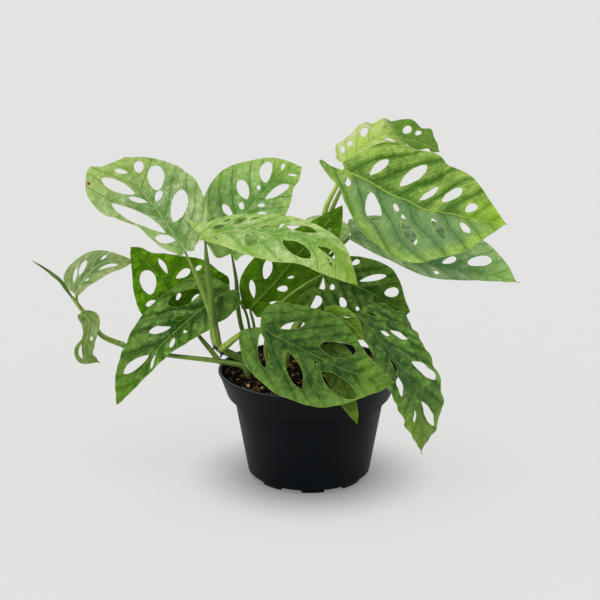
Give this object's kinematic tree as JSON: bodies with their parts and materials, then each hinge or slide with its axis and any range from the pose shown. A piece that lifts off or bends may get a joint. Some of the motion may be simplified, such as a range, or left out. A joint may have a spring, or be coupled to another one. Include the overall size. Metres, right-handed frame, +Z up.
{
  "type": "potted swiss cheese vine",
  "caption": "Climbing aroid house plant with heart-shaped leaves full of oval holes, on thin stalks that rise from potting mix in a round black plastic nursery pot",
  "frame": {"origin": "centre of the pot's base, on the surface that the pot stands on", "axes": "+Z up along the pot's axis, +X to the right and +Y away from someone who faces the plant, with its runner to their left"},
  "size_m": [0.3942, 0.1843, 0.2865],
  "materials": {
    "pot": "satin black moulded plastic",
    "soil": "moist potting mix of dark peat and tan bark chips",
    "stalk": "smooth olive green living stalk",
    "leaf_green": "satin mottled mid green leaf",
    "leaf_dark": "satin dark green leaf",
    "leaf_young": "satin light yellow-green young leaf",
    "leaf_pale": "satin pale grey-green leaf",
    "leaf_rolled": "satin dark olive new leaf, still rolled"
  },
  "bodies": {
    "root": {"pot": "pot", "soil": "soil", "vine_left": "stalk", "vine_runner": "stalk", "vine_centre": "stalk", "vine_middle": "stalk", "vine_right": "stalk", "vine_front": "stalk", "leaf_rolled_new": "leaf_rolled", "leaf_upper_left": "leaf_pale", "leaf_upper_middle": "leaf_green", "leaf_front_upper": "leaf_young", "leaf_left_back": "leaf_dark", "leaf_left_drooping": "leaf_dark", "leaf_runner": "leaf_young", "leaf_runner_hanging": "leaf_green", "leaf_centre_back": "leaf_dark", "leaf_right_large": "leaf_green", "leaf_right_lower": "leaf_green", "leaf_top_young": "leaf_young", "leaf_front_large": "leaf_green", "leaf_front_small": "leaf_green", "leaf_right_drooping": "leaf_green", "leaf_middle_right": "leaf_dark", "leaf_middle_small": "leaf_young", "leaf_back_pale": "leaf_pale"}
  },
  "joints": []
}
